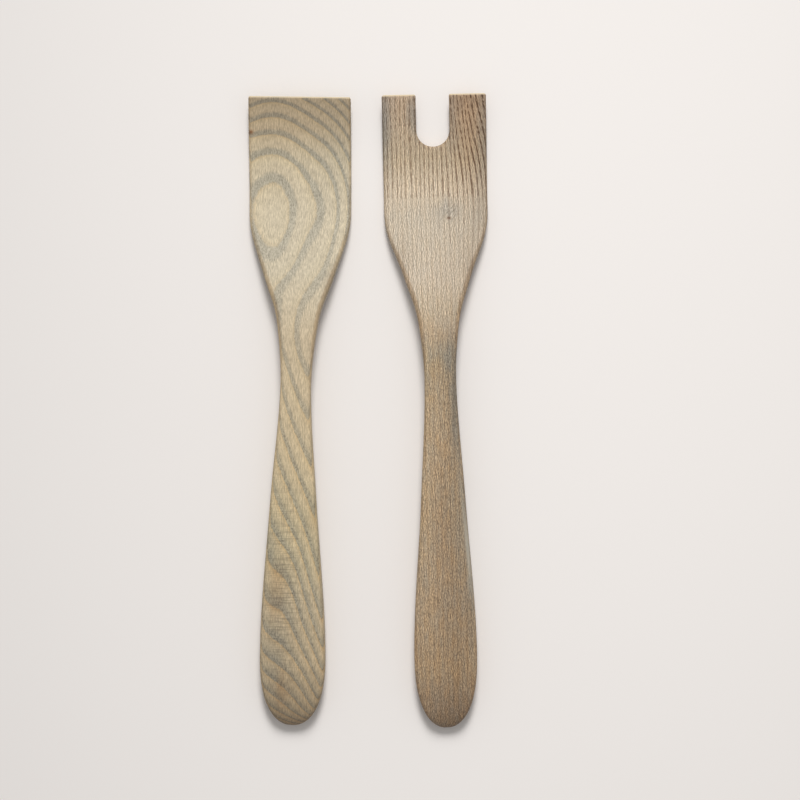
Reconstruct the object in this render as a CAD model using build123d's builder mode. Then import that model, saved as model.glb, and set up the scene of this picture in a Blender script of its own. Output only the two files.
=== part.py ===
"""A pair of carved wooden salad servers laid side by side, one blade plain and one notched."""
import os
from math import radians, sin, tan

from build123d import *

# Outline of the plain server, distances measured from the blade's tip
plain_length = 319.0
plain_tip_width = 52.1
plain_blade_width = 51.5
plain_blade_length = 60.0
plain_shoulder_width = 36.4
plain_shoulder_at = 90.0
plain_throat_width = 21.0
plain_throat_at = 114.0
plain_neck_width = 15.5
plain_neck_at = 145.0
plain_swell_width = 23.2
plain_swell_at = 204.0
plain_grip_width = 33.2
plain_grip_at = 286.0
plain_blade_drift = 0.9
plain_swell_drift = -0.7

# Outline of the notched server, distances measured from the blade's tip
notched_length = 321.5
notched_tip_width = 53.0
notched_blade_width = 52.4
notched_blade_length = 62.0
notched_shoulder_width = 34.4
notched_shoulder_at = 92.0
notched_throat_width = 20.9
notched_throat_at = 115.0
notched_neck_width = 16.1
notched_neck_at = 143.0
notched_swell_width = 22.5
notched_swell_at = 205.0
notched_grip_width = 31.9
notched_grip_at = 286.0
notched_blade_drift = -0.1
notched_swell_drift = 0.5

# Notch in the end of the notched blade
notch_width = 16.8
notch_depth = 26.3
notch_offset = -0.8

# Slope of the top face, in degrees, at distances from the tip
tip_angle = -12.5
ramp_angle = 8.8
ramp_at = 66.0
ramp_end_angle = 6.8
ramp_end_at = 110.0
crest_angle = 0.6
crest_at = 134.0
grip_angle = -0.6
grip_at = 235.0
end_angle = -7.0

# Thickness and underside: the blade's belly and the handle's heel are sanded flat where they rest
tip_thickness = 3.0
belly_thickness = 4.6
belly_at = 40.0
neck_lift = 4.2
neck_lift_at = 150.0
heel_at = 268.0
rest_cut = 0.25

# Rounding of the cross section, from blade to handle
blade_crown = 0.15
neck_crown = 0.3
grip_crown = 0.45
blade_corner = 0.6
shoulder_corner = 1.0
neck_corner = 1.6
grip_corner = 1.8

# Round end of the handle
end_fullness = 2.2
end_round = 11.0

# How the pair lies on the table
pair_spacing = 73.2
plain_turn = -0.68
notched_turn = 1.2

# Cross sections along the length, and towards the round end
section_gap = 9.0
end_section_angles = (0, 20, 38, 52, 64, 73, 80, 85)


def smooth_curve(stations, first_slope=0.0):
    """A smooth curve through (distance, value) stations that never swings past them and ends level."""
    places = [place for place, _ in stations]
    values = [value for _, value in stations]
    gaps = [b - a for a, b in zip(places, places[1:])]
    rises = [(b - a) / gap for a, b, gap in zip(values, values[1:], gaps)]
    slopes = [first_slope]
    for before, after in zip(rises, rises[1:]):
        slopes.append(2 * before * after / (before + after) if before * after > 0 else 0.0)
    slopes.append(0.0)

    def value_at(distance):
        held = min(max(distance, places[0]), places[-1])
        i = max(k for k, place in enumerate(places[:-1]) if place <= held)
        u = (held - places[i]) / gaps[i]
        start = (1 + 2 * u) * (1 - u) ** 2 * values[i] + u * (1 - u) ** 2 * gaps[i] * slopes[i]
        finish = u * u * (3 - 2 * u) * values[i + 1] - u * u * (1 - u) * gaps[i] * slopes[i + 1]
        return start + finish

    return value_at


def sloped_curve(stations):
    """Height of a face whose slope changes evenly between (distance, angle) stations."""
    slopes = [(place, tan(radians(angle))) for place, angle in stations]

    def height_at(distance):
        height = 0.0
        for (a, slope_a), (b, slope_b) in zip(slopes, slopes[1:]):
            run = min(max(distance - a, 0.0), b - a)
            height += slope_a * run + (slope_b - slope_a) / (b - a) * run * run / 2
        return height

    return height_at


def end_share(distance, start, length, fullness):
    """Share of the full size that is left where the handle rounds off to its end."""
    u = min(max((distance - start) / (length - start), 0.0), 1.0)
    return (1 - u**fullness) ** (1 / fullness)


def server_sections(length, grip_from_tip, width_at, drift_at, lay):
    """Cross sections of one server, from the tip of its blade to the end of its handle."""
    face_height = sloped_curve([
        (0.0, tip_angle),
        (ramp_at, ramp_angle),
        (ramp_end_at, ramp_end_angle),
        (crest_at, crest_angle),
        (grip_at, grip_angle),
        (length, end_angle),
    ])
    belly_top = belly_thickness - rest_cut - face_height(belly_at)
    under_at = smooth_curve([
        (0.0, face_height(0.0) + belly_top - tip_thickness),
        (belly_at, -rest_cut),
        (neck_lift_at, neck_lift),
        (heel_at, -rest_cut),
        (length, 0.0),
    ], tan(radians(tip_angle)))
    crown_at = smooth_curve([
        (0.0, blade_crown),
        (ramp_at, blade_crown),
        (neck_lift_at, neck_crown),
        (grip_at, grip_crown),
    ])
    corner_at = smooth_curve([
        (0.0, blade_corner),
        (ramp_at, shoulder_corner),
        (neck_lift_at, neck_corner),
        (grip_at, grip_corner),
    ])

    def middle_at(distance):
        return (face_height(distance) + belly_top + under_at(distance)) / 2

    def section_at(distance):
        slope = middle_at(distance + 0.5) - middle_at(distance - 0.5)
        thin = end_share(distance, length - end_round, length, 2.0)
        thickness = 2 * (middle_at(distance) - under_at(distance)) * thin
        side = width_at(distance) * end_share(distance, grip_from_tip, length, end_fullness) / 2
        crown = crown_at(distance) * thin
        rise = thickness / 2 - crown
        corner = min(corner_at(distance), 0.85 * rise, 0.45 * side)
        shelf = side - corner
        wall = rise - corner
        pull = 0.55 * corner
        lean = 2 * crown / shelf * pull
        spot = (drift_at(distance), length / 2 - distance, middle_at(distance))
        square_cut = Plane(origin=spot, x_dir=(1, 0, 0), z_dir=(0, -1, slope))
        with BuildSketch(lay * square_cut.location) as section:
            with BuildLine():
                Bezier((-shelf, rise), (0, rise + 2 * crown), (shelf, rise))
                Bezier((shelf, rise), (shelf + pull, rise - lean), (side, wall + pull), (side, wall))
                Line((side, wall), (side, -wall))
                Bezier((side, -wall), (side, -wall - pull), (shelf + pull, lean - rise), (shelf, -rise))
                Bezier((shelf, -rise), (0, -rise - 2 * crown), (-shelf, -rise))
                Bezier((-shelf, -rise), (-shelf - pull, lean - rise), (-side, -wall - pull), (-side, -wall))
                Line((-side, -wall), (-side, wall))
                Bezier((-side, wall), (-side, wall + pull), (-shelf - pull, rise - lean), (-shelf, rise))
            make_face()
        return section.sketch

    steps = round(grip_from_tip / section_gap)
    distances = [grip_from_tip * k / steps for k in range(steps)]
    end_length = length - grip_from_tip
    distances += [length - end_length * (1 - sin(radians(angle))) for angle in end_section_angles]
    return [section_at(distance) for distance in distances]


plain_width = smooth_curve([
    (0.0, plain_tip_width),
    (plain_blade_length, plain_blade_width),
    (plain_shoulder_at, plain_shoulder_width),
    (plain_throat_at, plain_throat_width),
    (plain_neck_at, plain_neck_width),
    (plain_swell_at, plain_swell_width),
    (plain_grip_at, plain_grip_width),
])
plain_drift = smooth_curve([
    (0.0, 0.0),
    (plain_blade_length, plain_blade_drift),
    (plain_swell_at, plain_swell_drift),
    (plain_length, 0.0),
])
plain_lay = Location((-pair_spacing / 2, 0, 0), (0, 0, plain_turn))

notched_width = smooth_curve([
    (0.0, notched_tip_width),
    (notched_blade_length, notched_blade_width),
    (notched_shoulder_at, notched_shoulder_width),
    (notched_throat_at, notched_throat_width),
    (notched_neck_at, notched_neck_width),
    (notched_swell_at, notched_swell_width),
    (notched_grip_at, notched_grip_width),
])
notched_drift = smooth_curve([
    (0.0, 0.0),
    (notched_blade_length, notched_blade_drift),
    (notched_swell_at, notched_swell_drift),
    (notched_length, 0.0),
])
notched_lay = Location((pair_spacing / 2, 0, 0), (0, 0, notched_turn))

# Plain server
with BuildPart() as plain_server:
    loft(server_sections(plain_length, plain_grip_at, plain_width, plain_drift, plain_lay))
    split(bisect_by=Plane.XY, keep=Keep.TOP)

# Notched server: the round-bottomed notch goes right through the blade, a little off its middle line
with BuildPart() as notched_server:
    loft(server_sections(notched_length, notched_grip_at, notched_width, notched_drift, notched_lay))
    split(bisect_by=Plane.XY, keep=Keep.TOP)
    notch_spot = (notch_offset, notched_length / 2 - notch_depth + notch_width / 2, 0)
    with BuildSketch(notched_lay * Plane(origin=notch_spot).location) as notch:
        Circle(notch_width / 2)
        Rectangle(notch_width, 2 * notch_depth, align=(Align.CENTER, Align.MIN))
    extrude(amount=notched_length, mode=Mode.SUBTRACT)

# The origin is the middle of the pair's footprint, on the table
footprint = Compound([plain_server.part, notched_server.part]).bounding_box().center()
to_origin = Location((-footprint.X, -footprint.Y, 0))
os.makedirs("parts", exist_ok=True)
plain_server.part.move(to_origin)
plain_server.part.label = "plain_server"
export_step(plain_server.part, "parts/plain_server.step")
notched_server.part.move(to_origin)
notched_server.part.label = "notched_server"
export_step(notched_server.part, "parts/notched_server.step")
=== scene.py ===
"""A pair of carved ash salad servers on a pale table, seen from straight above."""
from math import cos, exp, radians, sin

import bpy
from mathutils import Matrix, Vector


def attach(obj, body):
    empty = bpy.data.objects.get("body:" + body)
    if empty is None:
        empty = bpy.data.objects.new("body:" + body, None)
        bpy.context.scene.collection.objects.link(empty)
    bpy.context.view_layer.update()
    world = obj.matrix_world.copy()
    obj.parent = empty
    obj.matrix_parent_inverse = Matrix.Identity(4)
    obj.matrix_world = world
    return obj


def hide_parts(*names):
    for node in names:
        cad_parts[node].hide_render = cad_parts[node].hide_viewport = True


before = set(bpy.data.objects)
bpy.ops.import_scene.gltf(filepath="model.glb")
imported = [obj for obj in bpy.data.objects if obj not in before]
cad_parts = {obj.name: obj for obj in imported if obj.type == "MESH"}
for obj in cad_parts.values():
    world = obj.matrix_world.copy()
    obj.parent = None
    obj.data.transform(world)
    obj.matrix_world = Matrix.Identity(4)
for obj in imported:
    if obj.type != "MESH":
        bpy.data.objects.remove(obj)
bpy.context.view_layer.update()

# Each server's middle and how far its tip is from there, in millimetres, and its turn in degrees
PLAIN_MIDDLE = (-36.54, -0.39)
PLAIN_TIP = 159.5
PLAIN_TURN = -0.68
NOTCHED_MIDDLE = (36.66, -0.39)
NOTCHED_TIP = 160.75
NOTCHED_TURN = 1.2

# Sanded skin of both servers, in millimetres, and the passes that ease it and that find its edges
SKIN_GRID = 0.54
ARRIS = 0.35
WAVINESS = 0.06
WAVE_LENGTH = 24.0
EASING_PASSES = 1
EDGE_PASSES = 12

# Fibres and pores, in millimetres across, along and through the grain: coarser than real, so they show
FIBRE = (0.36, 3.0, 0.6)
PORE = (0.36, 1.1, 0.4)

# Matt sanded finish of both woods, with the depth of its pores in metres
WOOD_ROUGHNESS = 0.62
PORE_STRENGTH = 0.2
PORE_DEPTH = 0.0001

# How level the narrow sides and the broad faces lie, from 0 upright to 1 level
SIDE_LEVEL = 0.3
FACE_LEVEL = 0.7

# Darkest and brightest of the fibres: first on the narrow sides, then on the broad faces
PLAIN_STREAK = {"To Min": (0.88, 0.77), "To Max": (1.12, 1.23)}
NOTCHED_STREAK = {"To Min": (0.82, 0.65), "To Max": (1.2, 1.46)}

# Strength of the plain server's pores, range of the notched one's: first on the blade, then the handle
PLAIN_PORES = {"To Max": (0.5, 0.75)}
NOTCHED_SPECKLE = {"To Min": (0.78, 0.58), "To Max": (1.22, 1.42)}

# Reach in millimetres of a pattern that is the same all through the wood
THROUGH = 1e6

# Growth rings of the plain server, in millimetres: arcs about a pith far below it, off to its left
PITH_LEFT = 20.8
PITH_LEAN = 0.081
RING_RADIUS = 114.0
RING_RISE = 0.097
RING_SPACING = 1.6
RING_PHASE = 0.29

# Dips and swells in those rings: place (x, y), reach (x, y) and rise, in millimetres
RING_SWELLS = (
    ((-28.0, 165.0), (33.0, 19.0), -1.95),
    ((18.0, 74.0), (23.0, 40.0), -1.6),
    ((4.0, 71.0), (10.5, 80.0), 1.0),
    ((-11.0, 84.0), (10.0, 14.0), -0.35),
    ((-9.0, 62.0), (9.0, 12.0), 0.45),
    ((-28.0, 137.0), (9.0, 10.0), -0.55),
    ((-2.5, -88.0), (9.0, 26.0), -1.0),
    ((-16.0, -125.0), (14.0, 52.0), 1.9),
)

# Grip of the plain server, in millimetres along it: where its stronger bands start and are full
GRIP_FROM = 10.0
GRIP_FULL = -60.0

# Sanding scratches on that grip: size of one, place and reach of them all, in millimetres, and strength
SCRATCH = (11.0, 0.36, 9.0)
SCRATCHED_AT = (-5.0, -92.0)
SCRATCHED_REACH = (9.0, 52.0)
SCRATCH_STRENGTH = 0.45

# Growth lines of the notched server, in millimetres: combed long on the blade's end, speckled behind it
LINE_SPACING = 2.33
LINE_WANDER = 2.6
WANDER_SIZE = (5.0, 90.0, 9.0)
DASH = (1.1, 2.6, 1.0)
COMBED_FROM = 108.6
DASHES_APART_AT = 144.0
DASHES_JOINED_AT = 128.0

# Strength of the dashes on those lines: behind the combed end, on it, and added by the tine's lean
SPECKLED_DASHES = 0.3
COMBED_DASHES = 0.68
LEANING_DASHES = 3.2

# Space in millimetres between a fibre of the notched server and those that it is set against
BESIDE = 0.5

# Lean of those lines on the right tine: sideways per millimetre above its foot, its place and reach
TINE_LEAN = 0.16
TINE_FOOT = 120.0
TINE_LEAN_AT = (20.0, 150.0)
TINE_LEAN_REACH = (13.0, 42.0)

# Pin knot of the notched blade, in millimetres, and the fibres over it, with their slant in degrees
PIN_KNOT = (6.4, 97.9)
KNOT_AT = (8.2, 101.0)
KNOT_REACH = (3.6, 4.6)
KNOT_FIBRE = (0.42, 3.0, THROUGH)
KNOT_SLANT = 25.0

# Handle of the notched server, in millimetres along it: where its speckle starts and is full
HANDLE_FROM = 60.0
HANDLE_FULL = 25.0

# Brown and blue-grey casts along that handle: size of one, in millimetres
CAST = (2.4, 10.0, 4.0)

# Grey strip along the right edge of that handle, in millimetres, its turn in degrees, and strength
FACET_AT = (12.2, -69.0)
FACET_REACH = (1.1, 25.0)
FACET_TURN = 4.3
FACET_STRENGTH = 0.75

# Colours of marks in the wood, and of the painted shade along its edges
PORE_BROWN = "#5c5345"
DASH_BROWN = "#644629"
EDGE_SHADE_BROWN = "#b0946c"
END_GRAIN = "#cdbd9c"
FACET_GREY = "#aca698"

# Stains and darker patches laid over the wood, those on the shoulders' sloped edges being painted
# shade: place (x, y) and reach (x, y) in millimetres, strength and colour
GREY = "#c4d2e6"
BROWN = "#e8cdb0"
SHADE = "#e2deda"
PLAIN_STAINS_AND_SHADE = (
    ((20.0, 136.0), (13.0, 24.0), 0.25, GREY),
    ((-9.0, -128.0), (6.0, 18.0), 0.35, GREY),
    ((-9.0, -90.0), (5.0, 14.0), 0.4, BROWN),
    ((-5.0, -142.0), (3.0, 9.0), 0.45, BROWN),
    ((-12.0, -66.0), (3.0, 8.0), 0.4, GREY),
    ((8.0, -55.0), (3.0, 8.0), 0.5, SHADE),
    # Painted shade on the sloped edge of the right shoulder
    ((17.0, 67.0), (3.0, 8.0), 0.65, SHADE),
    ((7.5, 30.0), (2.5, 14.0), 0.4, SHADE),
    ((-24.6, 141.3), (1.3, 1.2), 0.9, "#c08a52"),
)
NOTCHED_STAINS_AND_SHADE = (
    ((-26.0, 146.0), (4.5, 22.0), 1.0, GREY),
    ((-9.2, 152.0), (3.6, 15.0), 0.8, GREY),
    ((8.5, 150.0), (4.0, 16.0), 0.5, GREY),
    ((26.0, 142.0), (4.5, 32.0), 0.6, GREY),
    ((17.0, 145.0), (9.0, 26.0), 0.45, BROWN),
    ((26.0, 105.0), (12.0, 55.0), 0.9, SHADE),
    ((18.0, 159.0), (9.0, 4.0), 1.0, SHADE),
    ((-3.0, 132.5), (8.0, 7.0), 0.35, SHADE),
    # Painted shade on the sloped edges of the left and right shoulders
    ((-17.5, 77.5), (4.5, 11.0), 0.5, SHADE),
    ((16.5, 71.0), (4.0, 9.5), 0.8, SHADE),
    ((6.0, -70.0), (9.0, 130.0), 0.9, SHADE),
    ((-1.0, -50.0), (5.0, 45.0), 0.3, BROWN),
    ((6.0, 102.6), (6.5, 5.0), 0.4, GREY),
    (PIN_KNOT, (1.0, 0.8), 0.9, "#9a6a3c"),
    ((4.0, 30.0), (7.0, 9.0), 0.5, GREY),
    ((7.0, 3.0), (3.0, 28.0), 0.9, GREY),
    ((11.0, -45.0), (2.6, 30.0), 0.6, GREY),
    ((13.5, -90.0), (2.6, 30.0), 0.5, GREY),
)

# Blotches in the outlines of the stains and darker patches, in millimetres: size, pull, and the reach
# below which there are none
BLOTCH = (4.0, 16.0, 8.0)
BLOTCH_PULL = (5.0, 24.0, 0.0)
SMALL_STAIN = 2.0

# Painted shade along the edges: place and reach, in millimetres, of the shoulders, where it is darkest
SHOULDER_AT = (0.0, 62.0)
SHOULDER_REACH = (1000.0, 32.0)

# Painted edge shade, off the shoulders and on them: start and full height of an edge, in metres, and
# strength
EDGE_SHADING = {"From Min": (0.00018, 0.00003), "From Max": (0.0004, 0.00015), "To Max": (0.25, 0.5)}

# End grain at the tip: millimetres short of it where it starts and is full, and strength
END_GRAIN_FROM = 0.9
END_GRAIN_FULL = 0.5
END_GRAIN_STRENGTH = 0.8

# Table top, in metres from its middle to each edge
TABLE_REACH = 4.0

# Lights: a broad window beyond the tips, in metres, degrees and watts, and a pale room
WINDOW_DISTANCE = 2.4
WINDOW_HEIGHT_ANGLE = 45.0
WINDOW_SIDE_ANGLE = -1.0
WINDOW_SIZE = (0.7, 1.5)
WINDOW_AIM = (0.095, 0.155, 0.0)
WINDOW_SPREAD = 40.0
WINDOW_POWER = 4.54
ROOM_LIGHT = 0.43

# Camera, straight above and a little right of the pair's middle, in metres, and its lens in millimetres
CAMERA_PLACE = (0.0162, 0.0053, 1.407)
CAMERA_LENS = 124.3


def paint(code):
    """Linear colour of an sRGB hex value."""
    parts = [int(code[i:i + 2], 16) / 255 for i in (1, 3, 5)]
    return [p / 12.92 if p <= 0.04045 else ((p + 0.055) / 1.055) ** 2.4 for p in parts] + [1.0]


def add(tree, kind, inputs=None, stops=(), **settings):
    """Adds a node with its settings and ramp stops, its inputs filled with values, sockets or nodes."""
    made = tree.nodes.new(kind)
    for name, value in settings.items():
        setattr(made, name, value)
    for socket, value in (inputs or {}).items():
        if isinstance(value, bpy.types.Node):
            value = next(output for output in value.outputs if output.enabled)
        if isinstance(value, bpy.types.NodeSocket):
            tree.links.new(value, made.inputs[socket])
        else:
            made.inputs[socket].default_value = value
    for count, (place, code) in enumerate(stops):
        ramp = made.color_ramp.elements
        stop = ramp[count] if count < len(ramp) else ramp.new(place)
        stop.position = place
        stop.color = paint(code)
    return made


def sanded_skin():
    """Tree that turns a server's solid into an even skin with eased arrises and hand-sanded hollows."""
    tree = bpy.data.node_groups.new("sanded_skin", "GeometryNodeTree")
    sockets = tree.interface
    sockets.new_socket("Solid", in_out="INPUT", socket_type="NodeSocketGeometry")
    for name in ("Grid", "Arris", "Waviness", "Wave Length"):
        sockets.new_socket(name, in_out="INPUT", socket_type="NodeSocketFloat")
    for name in ("Easing Passes", "Edge Passes"):
        sockets.new_socket(name, in_out="INPUT", socket_type="NodeSocketInt")
    sockets.new_socket("Wood", in_out="INPUT", socket_type="NodeSocketMaterial")
    sockets.new_socket("Skin", in_out="OUTPUT", socket_type="NodeSocketGeometry")
    given = add(tree, "NodeGroupInput").outputs
    place = add(tree, "GeometryNodeInputPosition")

    # An even grid just inside the solid, drawn out to its faces, leaves each arris broken
    solid = add(tree, "GeometryNodeMergeByDistance", {"Geometry": given["Solid"], "Distance": 1e-6})
    band = add(tree, "ShaderNodeMath", {0: given["Arris"], 1: 2.0}, operation="MULTIPLY")
    core = add(tree, "GeometryNodeMeshToVolume", {
        "Mesh": solid, "Density": 1.0, "Voxel Size": given["Grid"], "Interior Band Width": band,
    }, resolution_mode="VOXEL_SIZE")
    shell = add(tree, "GeometryNodeVolumeToMesh", {"Volume": core, "Threshold": 0.5, "Adaptivity": 0.0})
    on_face = add(tree, "GeometryNodeSampleNearestSurface", {
        "Mesh": solid, "Value": place, "Sample Position": place,
    }, data_type="FLOAT_VECTOR")
    drawn_out = add(tree, "GeometryNodeSetPosition", {"Geometry": shell, "Position": on_face})

    # Passes of sanding ease the arrises; a wider average tells how near to one each point is
    around = add(tree, "GeometryNodeBlurAttribute", {
        "Value": place, "Iterations": given["Edge Passes"],
    }, data_type="FLOAT_VECTOR")
    eased_off = add(tree, "ShaderNodeVectorMath", {0: place, 1: around}, operation="SUBTRACT")
    nearness = add(tree, "ShaderNodeVectorMath", {
        0: eased_off, 1: add(tree, "GeometryNodeInputNormal"),
    }, operation="DOT_PRODUCT")
    marked = add(tree, "GeometryNodeStoreNamedAttribute", {
        "Geometry": drawn_out, "Name": "edge", "Value": nearness.outputs["Value"],
    }, data_type="FLOAT", domain="POINT")
    sanded = add(tree, "GeometryNodeBlurAttribute", {
        "Value": place, "Iterations": given["Easing Passes"],
    }, data_type="FLOAT_VECTOR")
    eased = add(tree, "GeometryNodeSetPosition", {"Geometry": marked, "Position": sanded})

    # The long shallow hollows that sanding by hand leaves
    wave_count = add(tree, "ShaderNodeMath", {0: 1.0, 1: given["Wave Length"]}, operation="DIVIDE")
    waves = add(tree, "ShaderNodeTexNoise", {"Vector": place, "Scale": wave_count, "Detail": 0.0})
    depth = add(tree, "ShaderNodeMapRange", {
        "Value": waves.outputs["Fac"], "From Min": 0.3, "From Max": 0.8, "To Min": 0.0, "To Max": -1.0,
    })
    push = add(tree, "ShaderNodeMath", {0: depth, 1: given["Waviness"]}, operation="MULTIPLY")
    inward = add(tree, "ShaderNodeVectorMath", {
        0: add(tree, "GeometryNodeInputNormal"), "Scale": push,
    }, operation="SCALE")
    wavy = add(tree, "GeometryNodeSetPosition", {"Geometry": eased, "Offset": inward})

    # How level each point lies tells the broad faces from the narrow sides
    upward = add(tree, "ShaderNodeSeparateXYZ", {0: add(tree, "GeometryNodeInputNormal")}).outputs["Z"]
    level = add(tree, "ShaderNodeMath", {0: upward}, operation="ABSOLUTE")
    levelled = add(tree, "GeometryNodeStoreNamedAttribute", {
        "Geometry": wavy, "Name": "level", "Value": level,
    }, data_type="FLOAT", domain="POINT")

    smooth = add(tree, "GeometryNodeSetShadeSmooth", {"Geometry": levelled})
    single = add(tree, "GeometryNodeRealizeInstances", {"Geometry": smooth})
    finished = add(tree, "GeometryNodeSetMaterial", {"Geometry": single, "Material": given["Wood"]})
    add(tree, "NodeGroupOutput", {"Skin": finished})
    return tree


def skin_server(name, skin_tree, wood, body):
    """Makes one server's skin round its solid and puts it in the solid's place."""
    skin = bpy.data.objects.new(name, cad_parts[body].data.copy())
    bpy.context.scene.collection.objects.link(skin)
    sanding = skin.modifiers.new("sanded_skin", "NODES")
    sanding.node_group = skin_tree
    values = {
        "Grid": SKIN_GRID / 1000,
        "Arris": ARRIS / 1000,
        "Waviness": WAVINESS / 1000,
        "Wave Length": WAVE_LENGTH / 1000,
        "Easing Passes": EASING_PASSES,
        "Edge Passes": EDGE_PASSES,
        "Wood": wood,
    }
    for socket, value in values.items():
        sanding[skin_tree.interface.items_tree[socket].identifier] = value
    evaluated = skin.evaluated_get(bpy.context.evaluated_depsgraph_get())
    finished = bpy.data.meshes.new_from_object(evaluated)
    skin.modifiers.clear()
    skin.data = finished
    finished.name = name
    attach(skin, body)
    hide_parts(body)


def new_material(name):
    """A material with nothing in its tree yet."""
    material = bpy.data.materials.new(name)
    material.use_nodes = True
    material.node_tree.nodes.clear()
    return material, material.node_tree


def server_place(tree, middle, turn):
    """Place on a server in millimetres: x to its right, y towards its tip, z up from the table."""
    spin = radians(-turn)
    shift = (
        -(cos(spin) * middle[0] - sin(spin) * middle[1]),
        -(sin(spin) * middle[0] + cos(spin) * middle[1]),
        0.0,
    )
    return add(tree, "ShaderNodeMapping", {
        "Vector": add(tree, "ShaderNodeTexCoord").outputs["Object"],
        "Scale": (1000.0, 1000.0, 1000.0),
        "Rotation": (0.0, 0.0, spin),
        "Location": shift,
    })


def soft_patch(tree, place, middle, reach, turn=0.0):
    """Share from 1 in the middle of a patch on a server, fading over its reach in millimetres."""
    offset = add(tree, "ShaderNodeMapping", {
        "Vector": place,
        "Location": (*middle, 0.0),
        "Rotation": (0.0, 0.0, radians(turn)),
        "Scale": (*reach, THROUGH),
    }, vector_type="TEXTURE")
    squared = add(tree, "ShaderNodeVectorMath", {0: offset, 1: offset}, operation="DOT_PRODUCT")
    return add(tree, "ShaderNodeMath", {0: exp(-1), 1: squared}, operation="POWER")


def broad_face(tree):
    """Share from 0 on the narrow sides of a server to 1 on its broad faces."""
    level = add(tree, "ShaderNodeAttribute", attribute_name="level").outputs["Fac"]
    return add(tree, "ShaderNodeMapRange", {
        "Value": level, "From Min": SIDE_LEVEL, "From Max": FACE_LEVEL,
    })


def shifting(tree, share, limits):
    """Limits that go from the first of each pair to the second as a share goes from 0 to 1."""
    return {
        name: add(tree, "ShaderNodeMapRange", {"Value": share, "To Min": first, "To Max": second})
        for name, (first, second) in limits.items()
    }


def stained_and_shaded(tree, place, tip, stains_and_shade, colour):
    """Wood colour with blotchy stains and darker patches (painted shade where they lie on the
    shoulders' edges), brown painted shade along the edges and pale end grain at the blade's tip.
    """
    drift = add(tree, "ShaderNodeTexNoise", {
        "Vector": add(tree, "ShaderNodeVectorMath", {0: place, 1: BLOTCH}, operation="DIVIDE"),
        "Scale": 1.0, "Detail": 3.0,
    })
    sway = add(tree, "ShaderNodeVectorMath", {
        0: drift.outputs["Color"], 1: (0.5, 0.5, 0.5),
    }, operation="SUBTRACT")
    blotchy = add(tree, "ShaderNodeVectorMath", {
        0: sway, 1: BLOTCH_PULL, 2: place,
    }, operation="MULTIPLY_ADD")
    for middle, reach, strength, code in stains_and_shade:
        outline = place if max(reach) < SMALL_STAIN else blotchy
        patch = soft_patch(tree, outline, middle, reach)
        share = add(tree, "ShaderNodeMath", {0: patch, 1: strength}, operation="MULTIPLY")
        colour = add(tree, "ShaderNodeMix", {
            0: share, 6: colour, 7: paint(code),
        }, data_type="RGBA", blend_type="MULTIPLY")

    # Brown painted shade along the edges, darkest at the shoulders
    proud = add(tree, "ShaderNodeAttribute", attribute_name="edge").outputs["Fac"]
    shoulder = soft_patch(tree, place, SHOULDER_AT, SHOULDER_REACH)
    edge_shade = add(tree, "ShaderNodeMapRange", {"Value": proud, **shifting(tree, shoulder, EDGE_SHADING)})
    colour = add(tree, "ShaderNodeMix", {
        0: edge_shade, 6: colour, 7: paint(EDGE_SHADE_BROWN),
    }, data_type="RGBA", blend_type="MULTIPLY")

    along = add(tree, "ShaderNodeSeparateXYZ", {0: place}).outputs["Y"]
    end_grain = add(tree, "ShaderNodeMapRange", {
        "Value": along,
        "From Min": tip - END_GRAIN_FROM,
        "From Max": tip - END_GRAIN_FULL,
        "To Max": END_GRAIN_STRENGTH,
    })
    return add(tree, "ShaderNodeMix", {0: end_grain, 6: colour, 7: paint(END_GRAIN)}, data_type="RGBA")


def matt_finish(tree, colour, pore, pores_high):
    """Matt sanded finish with sunken pores, where the pore pattern is high or else where it is low."""
    bump = add(tree, "ShaderNodeBump", {
        "Height": pore, "Strength": PORE_STRENGTH, "Distance": PORE_DEPTH,
    }, invert=pores_high)
    shader = add(tree, "ShaderNodeBsdfPrincipled", {
        "Base Color": colour, "Roughness": WOOD_ROUGHNESS, "Normal": bump,
    })
    add(tree, "ShaderNodeOutputMaterial", {"Surface": shader})


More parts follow.
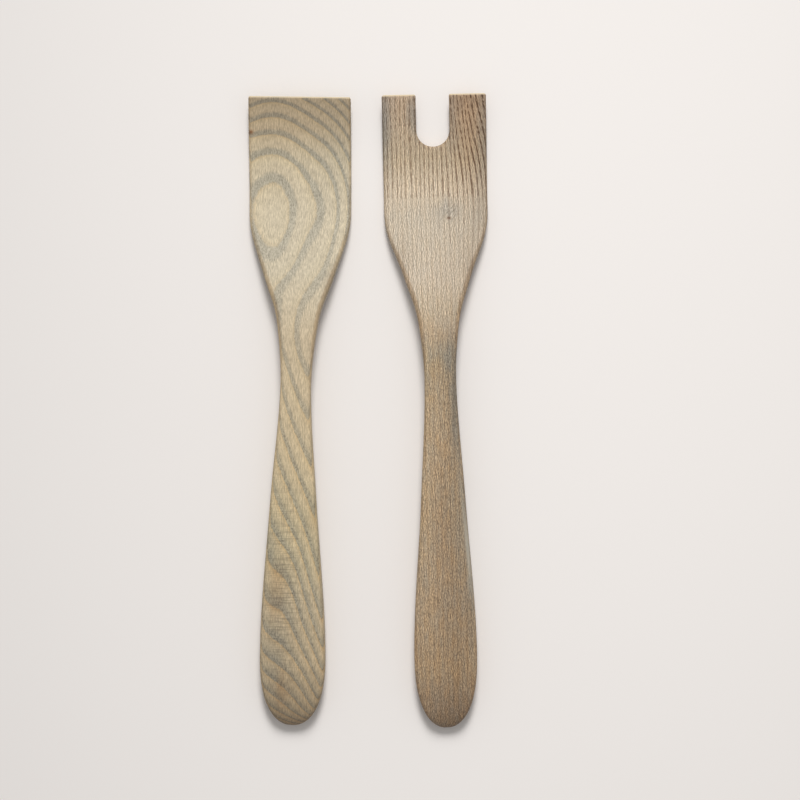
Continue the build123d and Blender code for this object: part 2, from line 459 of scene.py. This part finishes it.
def flat_sawn_ash():
    """Flat-sawn ash, stained grey and sanded matt.

    Each year's porous early wood took the stain: a grey band, sharp where the year starts and softer
    where it ends. The dense late wood between is straw-coloured, with fine fibres along it.
    """
    wood, tree = new_material("flat_sawn_greyed_ash")
    place = server_place(tree, PLAIN_MIDDLE, PLAIN_TURN)
    along = add(tree, "ShaderNodeSeparateXYZ", {0: place}).outputs["Y"]

    # Height of a point above the pith, along which the years follow one another
    across = add(tree, "ShaderNodeVectorMath", {
        0: place, 1: (1.0, -PITH_LEAN, 0.0),
    }, operation="DOT_PRODUCT")
    across = add(tree, "ShaderNodeMath", {0: across, 1: PITH_LEFT}, operation="ADD")
    arch = add(tree, "ShaderNodeMath", {0: across, 1: across}, operation="MULTIPLY")
    tilt = add(tree, "ShaderNodeVectorMath", {
        0: place, 1: (0.0, RING_RISE, 1.0),
    }, operation="DOT_PRODUCT")
    height = add(tree, "ShaderNodeMath", {
        0: arch, 1: 0.5 / RING_RADIUS, 2: tilt,
    }, operation="MULTIPLY_ADD")
    for middle, reach, rise in RING_SWELLS:
        patch = soft_patch(tree, place, middle, reach)
        height = add(tree, "ShaderNodeMath", {0: patch, 1: rise, 2: height}, operation="MULTIPLY_ADD")
    fibre = add(tree, "ShaderNodeTexNoise", {
        "Vector": add(tree, "ShaderNodeVectorMath", {0: place, 1: FIBRE}, operation="DIVIDE"),
        "Scale": 1.0, "Detail": 1.0,
    })
    pore = add(tree, "ShaderNodeTexNoise", {
        "Vector": add(tree, "ShaderNodeVectorMath", {0: place, 1: PORE}, operation="DIVIDE"),
        "Scale": 1.0, "Detail": 1.0,
    })

    # One year's growth, with its edges ragged by the fibres
    ragged = add(tree, "ShaderNodeMapRange", {"Value": fibre, "To Min": -0.1, "To Max": 0.1})
    year = add(tree, "ShaderNodeMath", {
        0: height, 1: 1 / RING_SPACING, 2: ragged,
    }, operation="MULTIPLY_ADD")
    year = add(tree, "ShaderNodeMath", {0: year, 1: RING_PHASE}, operation="ADD")
    year = add(tree, "ShaderNodeMath", {0: year}, operation="FRACT")
    growth = add(tree, "ShaderNodeValToRGB", {"Fac": year}, [
        (0.00, "#e8e6e0"),
        (0.04, "#d3dbe5"),
        (0.24, "#d8dfe8"),
        (0.36, "#fafafa"),
        (0.60, "#ffffff"),
        (0.92, "#fffdf6"),
        (0.97, "#fff6e6"),
        (1.00, "#e8e6e0"),
    ])
    grip_growth = add(tree, "ShaderNodeValToRGB", {"Fac": year}, [
        (0.00, "#fff0da"),
        (0.03, "#cbd8e7"),
        (0.20, "#cfdae8"),
        (0.46, "#ecf0f2"),
        (0.70, "#ffffff"),
        (0.90, "#fff9ee"),
        (0.97, "#fff0da"),
    ])
    grip = add(tree, "ShaderNodeMapRange", {
        "Value": along, "From Min": GRIP_FROM, "From Max": GRIP_FULL,
    })
    growth = add(tree, "ShaderNodeMix", {0: grip, 6: growth, 7: grip_growth}, data_type="RGBA")
    length = add(tree, "ShaderNodeMapRange", {
        "Value": along, "From Min": PLAIN_TIP, "From Max": -PLAIN_TIP,
    })
    stain = add(tree, "ShaderNodeValToRGB", {"Fac": length}, [
        (0.03, "#ffffff"),
        (0.11, "#ededed"),
        (0.20, "#d6d6d6"),
        (0.28, "#c2c2c2"),
        (0.38, "#d3d3d3"),
        (0.47, "#e4e4e4"),
    ])
    growth = add(tree, "ShaderNodeMix", {0: stain, 6: paint("#ffffff"), 7: growth}, data_type="RGBA")
    early = add(tree, "ShaderNodeMapRange", {"Value": year, "From Min": 0.38, "From Max": 0.2})

    # The late wood's own colour, darker at the tip and towards the end of the grip
    tone = add(tree, "ShaderNodeValToRGB", {"Fac": length}, [
        (0.00, "#aa977b"),
        (0.05, "#b7a384"),
        (0.10, "#c7b799"),
        (0.18, "#c7b99e"),
        (0.28, "#c5b89e"),
        (0.38, "#c3b193"),
        (0.56, "#c8b491"),
        (0.67, "#c7b48f"),
        (0.74, "#c1af8c"),
        (0.80, "#bdab8c"),
        (0.90, "#bca786"),
        (0.97, "#a08c6f"),
        (1.00, "#917b61"),
    ])
    colour = add(tree, "ShaderNodeVectorMath", {0: tone, 1: growth}, operation="MULTIPLY")
    face = broad_face(tree)
    streak = add(tree, "ShaderNodeMapRange", {
        "Value": fibre, "From Min": 0.3, "From Max": 0.7, **shifting(tree, face, PLAIN_STREAK),
    })
    colour = add(tree, "ShaderNodeVectorMath", {0: colour, "Scale": streak}, operation="SCALE")

    # Pores, drawn coarser than they are so that they show, thick in the early wood
    hole = add(tree, "ShaderNodeMapRange", {
        "Value": pore, "From Min": 0.46, "From Max": 0.7, **shifting(tree, grip, PLAIN_PORES),
    })
    depth = add(tree, "ShaderNodeMapRange", {"Value": early, "To Min": 0.35, "To Max": 1.0})
    hole = add(tree, "ShaderNodeMath", {0: hole, 1: depth}, operation="MULTIPLY")
    colour = add(tree, "ShaderNodeMix", {0: hole, 6: colour, 7: paint(PORE_BROWN)}, data_type="RGBA")

    # Fine scratches across the grip from sanding
    scratch = add(tree, "ShaderNodeTexNoise", {
        "Vector": add(tree, "ShaderNodeVectorMath", {0: place, 1: SCRATCH}, operation="DIVIDE"),
        "Scale": 1.0, "Detail": 1.0,
    })
    scratch = add(tree, "ShaderNodeMapRange", {
        "Value": scratch, "From Min": 0.5, "From Max": 0.62, "To Max": SCRATCH_STRENGTH,
    })
    scratch = add(tree, "ShaderNodeMath", {
        0: scratch, 1: soft_patch(tree, place, SCRATCHED_AT, SCRATCHED_REACH),
    }, operation="MULTIPLY")
    colour = add(tree, "ShaderNodeMix", {0: scratch, 6: colour, 7: paint(PORE_BROWN)}, data_type="RGBA")

    colour = stained_and_shaded(tree, place, PLAIN_TIP, PLAIN_STAINS_AND_SHADE, colour)
    matt_finish(tree, colour, pore, pores_high=True)
    return wood


def quarter_sawn_ash():
    """Quarter-sawn ash, stained grey-brown and sanded matt.

    The years stand on edge, so they show as straight close lines set with dark pores: long dashes where
    the blade's end runs along the grain, and a fine speckle behind it, where the face is cut across the
    fibres.
    """
    wood, tree = new_material("quarter_sawn_greyed_ash")
    place = server_place(tree, NOTCHED_MIDDLE, NOTCHED_TURN)
    axes = add(tree, "ShaderNodeSeparateXYZ", {0: place}).outputs

    # Place across the years: the lines lean on the right tine
    lean = soft_patch(tree, place, TINE_LEAN_AT, TINE_LEAN_REACH)
    lean = add(tree, "ShaderNodeMath", {0: lean, 1: TINE_LEAN}, operation="MULTIPLY")
    rise = add(tree, "ShaderNodeMath", {0: axes["Y"], 1: TINE_FOOT}, operation="SUBTRACT")
    across = add(tree, "ShaderNodeMath", {0: rise, 1: lean, 2: axes["X"]}, operation="MULTIPLY_ADD")
    grain = add(tree, "ShaderNodeCombineXYZ", {"X": across, "Y": axes["Y"], "Z": axes["Z"]})

    # Each fibre shows against those on both sides of it
    here, left, right = [add(tree, "ShaderNodeTexNoise", {
        "Vector": add(tree, "ShaderNodeMapping", {
            "Vector": grain, "Location": (aside, 0.0, 0.0), "Scale": FIBRE,
        }, vector_type="TEXTURE"),
        "Scale": 1.0, "Detail": 1.0,
    }) for aside in (0.0, -BESIDE, BESIDE)]
    sides = add(tree, "ShaderNodeMath", {0: left, 1: right}, operation="ADD")
    fibre = add(tree, "ShaderNodeMath", {0: sides, 1: -0.5, 2: here}, operation="MULTIPLY_ADD")

    # Over the pin knot the fibres close up and slant
    aslant = add(tree, "ShaderNodeTexNoise", {
        "Vector": add(tree, "ShaderNodeMapping", {
            "Vector": place,
            "Location": (*KNOT_AT, 0.0),
            "Rotation": (0.0, 0.0, radians(-KNOT_SLANT)),
            "Scale": KNOT_FIBRE,
        }, vector_type="TEXTURE"),
        "Scale": 1.0, "Detail": 1.0,
    })
    aslant = add(tree, "ShaderNodeMapRange", {"Value": aslant, "To Min": -0.95, "To Max": 0.85})
    knot = soft_patch(tree, place, KNOT_AT, KNOT_REACH, -KNOT_SLANT)
    knot = add(tree, "ShaderNodeMapRange", {"Value": knot, "From Min": 0.2, "From Max": 0.7})
    fibre = add(tree, "ShaderNodeMix", {0: knot, 2: fibre, 3: aslant})
    pore = add(tree, "ShaderNodeTexNoise", {
        "Vector": add(tree, "ShaderNodeVectorMath", {0: grain, 1: PORE}, operation="DIVIDE"),
        "Scale": 1.0, "Detail": 1.0,
    })
    dash = add(tree, "ShaderNodeTexNoise", {
        "Vector": add(tree, "ShaderNodeVectorMath", {0: grain, 1: DASH}, operation="DIVIDE"),
        "Scale": 1.0, "Detail": 1.0,
    })

    # Where the combed end of the blade stops, a little unevenly
    comb_end = add(tree, "ShaderNodeMath", {0: fibre, 1: 2.0, 2: axes["Y"]}, operation="MULTIPLY_ADD")
    combed = add(tree, "ShaderNodeMapRange", {
        "Value": comb_end, "From Min": COMBED_FROM - 0.5, "From Max": COMBED_FROM + 0.5,
    })

    tone = add(tree, "ShaderNodeValToRGB", {
        "Fac": add(tree, "ShaderNodeMapRange", {
            "Value": axes["Y"], "From Min": NOTCHED_TIP, "From Max": -NOTCHED_TIP,
        }),
    }, [
        (0.00, "#bba287"),
        (0.06, "#b5a085"),
        (0.10, "#b8a589"),
        (0.15, "#c7b59c"),
        (0.19, "#b9ab96"),
        (0.29, "#bfaf99"),
        (0.34, "#b7a58b"),
        (0.38, "#b29d81"),
        (0.41, "#a9977b"),
        (0.45, "#ab9678"),
        (0.56, "#b19b7d"),
        (0.64, "#ac977a"),
        (0.80, "#a79175"),
        (0.91, "#a48b6c"),
        (0.96, "#8f7960"),
        (1.00, "#86725c"),
    ])
    face = broad_face(tree)
    streak = add(tree, "ShaderNodeMapRange", {
        "Value": fibre, "From Min": -0.25, "From Max": 0.25, **shifting(tree, face, NOTCHED_STREAK),
    })
    colour = add(tree, "ShaderNodeVectorMath", {0: tone, "Scale": streak}, operation="SCALE")

    # Pores, and a brown and a blue-grey cast mingled along the fibres, stronger on the handle
    handle = add(tree, "ShaderNodeMapRange", {
        "Value": axes["Y"], "From Min": HANDLE_FROM, "From Max": HANDLE_FULL, "To Max": face,
    })
    speckle = add(tree, "ShaderNodeMapRange", {
        "Value": pore, "From Min": 0.3, "From Max": 0.7, **shifting(tree, handle, NOTCHED_SPECKLE),
    })
    colour = add(tree, "ShaderNodeVectorMath", {0: colour, "Scale": speckle}, operation="SCALE")
    cast = add(tree, "ShaderNodeTexNoise", {
        "Vector": add(tree, "ShaderNodeVectorMath", {0: grain, 1: CAST}, operation="DIVIDE"),
        "Scale": 1.0, "Detail": 4.0,
    })
    cast = add(tree, "ShaderNodeValToRGB", {"Fac": cast}, [
        (0.36, "#fff9f0"),
        (0.64, "#f3f8ff"),
    ])
    colour = add(tree, "ShaderNodeMix", {
        0: add(tree, "ShaderNodeMapRange", {"Value": handle, "To Min": 0.3}), 6: colour, 7: cast,
    }, data_type="RGBA", blend_type="MULTIPLY")

    # Dashes of dark pores along each year's early wood, drawn coarser than they are so that they show
    wander = add(tree, "ShaderNodeTexNoise", {
        "Vector": add(tree, "ShaderNodeVectorMath", {0: place, 1: WANDER_SIZE}, operation="DIVIDE"),
        "Scale": 1.0, "Detail": 1.0,
    })
    year = add(tree, "ShaderNodeMath", {0: wander, 1: LINE_WANDER, 2: across}, operation="MULTIPLY_ADD")
    year = add(tree, "ShaderNodeMath", {0: year, 1: LINE_SPACING}, operation="DIVIDE")
    year = add(tree, "ShaderNodeMath", {0: year}, operation="FRACT")
    early = add(tree, "ShaderNodeValToRGB", {"Fac": year}, [
        (0.00, "#000000"),
        (0.12, "#ffffff"),
        (0.27, "#ffffff"),
        (0.45, "#000000"),
    ])
    joined = add(tree, "ShaderNodeMapRange", {
        "Value": axes["Y"], "From Min": DASHES_APART_AT, "From Max": DASHES_JOINED_AT, "To Max": 0.55,
    })
    dash = add(tree, "ShaderNodeMapRange", {
        "Value": dash, "From Min": 0.35, "From Max": 0.58, "To Min": joined,
    })
    depth = add(tree, "ShaderNodeMapRange", {
        "Value": combed, "To Min": SPECKLED_DASHES, "To Max": COMBED_DASHES,
    })
    depth = add(tree, "ShaderNodeMath", {
        0: lean, 1: LEANING_DASHES, 2: depth,
    }, operation="MULTIPLY_ADD")
    hole = add(tree, "ShaderNodeMath", {0: early, 1: dash}, operation="MULTIPLY")
    hole = add(tree, "ShaderNodeMath", {0: hole, 1: depth}, operation="MULTIPLY")
    shallow = add(tree, "ShaderNodeMapRange", {"Value": face, "To Min": 0.45})
    hole = add(tree, "ShaderNodeMath", {0: hole, 1: shallow}, operation="MULTIPLY")
    colour = add(tree, "ShaderNodeMix", {0: hole, 6: colour, 7: paint(DASH_BROWN)}, data_type="RGBA")

    colour = stained_and_shaded(tree, place, NOTCHED_TIP, NOTCHED_STAINS_AND_SHADE, colour)

    # A grey strip along the right edge of the handle
    facet = soft_patch(tree, place, FACET_AT, FACET_REACH, FACET_TURN)
    facet = add(tree, "ShaderNodeMath", {0: facet, 1: FACET_STRENGTH}, operation="MULTIPLY")
    colour = add(tree, "ShaderNodeMix", {0: facet, 6: colour, 7: paint(FACET_GREY)}, data_type="RGBA")
    matt_finish(tree, colour, pore, pores_high=False)
    return wood


def table_top():
    """A wide table top in matt warm white paint."""
    top = bpy.data.meshes.new("table_top")
    corners = [(TABLE_REACH * x, TABLE_REACH * y, 0) for x, y in ((-1, -1), (1, -1), (1, 1), (-1, 1))]
    top.from_pydata(corners, [], [(0, 1, 2, 3)])
    coat, tree = new_material("matt_white_paint")
    shader = add(tree, "ShaderNodeBsdfPrincipled", {
        "Base Color": paint("#ebe6e2"), "Roughness": 0.9, "Specular IOR Level": 0.2,
    })
    add(tree, "ShaderNodeOutputMaterial", {"Surface": shader})
    top.materials.append(coat)
    table = bpy.data.objects.new("table_top", top)
    bpy.context.scene.collection.objects.link(table)


def studio():
    """Camera, window light and room light."""
    scene = bpy.context.scene
    scene.view_settings.view_transform = "Standard"
    camera = bpy.data.objects.new("camera", bpy.data.cameras.new("camera"))
    camera.location = CAMERA_PLACE
    camera.data.lens = CAMERA_LENS
    scene.collection.objects.link(camera)
    scene.camera = camera

    glow = bpy.data.lights.new("window", "AREA")
    glow.shape = "RECTANGLE"
    glow.size, glow.size_y = WINDOW_SIZE
    glow.spread = radians(WINDOW_SPREAD)
    glow.energy = WINDOW_POWER
    window = bpy.data.objects.new("window", glow)
    up = radians(WINDOW_HEIGHT_ANGLE)
    aside = radians(WINDOW_SIDE_ANGLE)
    towards = Vector((sin(aside) * cos(up), cos(aside) * cos(up), sin(up)))
    window.location = Vector(WINDOW_AIM) + towards * WINDOW_DISTANCE
    window.rotation_euler = towards.to_track_quat("Z", "Y").to_euler()
    scene.collection.objects.link(window)

    room = bpy.data.worlds.new("pale_room")
    room.use_nodes = True
    room.node_tree.nodes["Background"].inputs["Color"].default_value = paint("#ffffff")
    room.node_tree.nodes["Background"].inputs["Strength"].default_value = ROOM_LIGHT
    scene.world = room


studio()
table_top()
skin_tree = sanded_skin()
skin_server("plain_server_skin", skin_tree, flat_sawn_ash(), "plain_server")
skin_server("notched_server_skin", skin_tree, quarter_sawn_ash(), "notched_server")
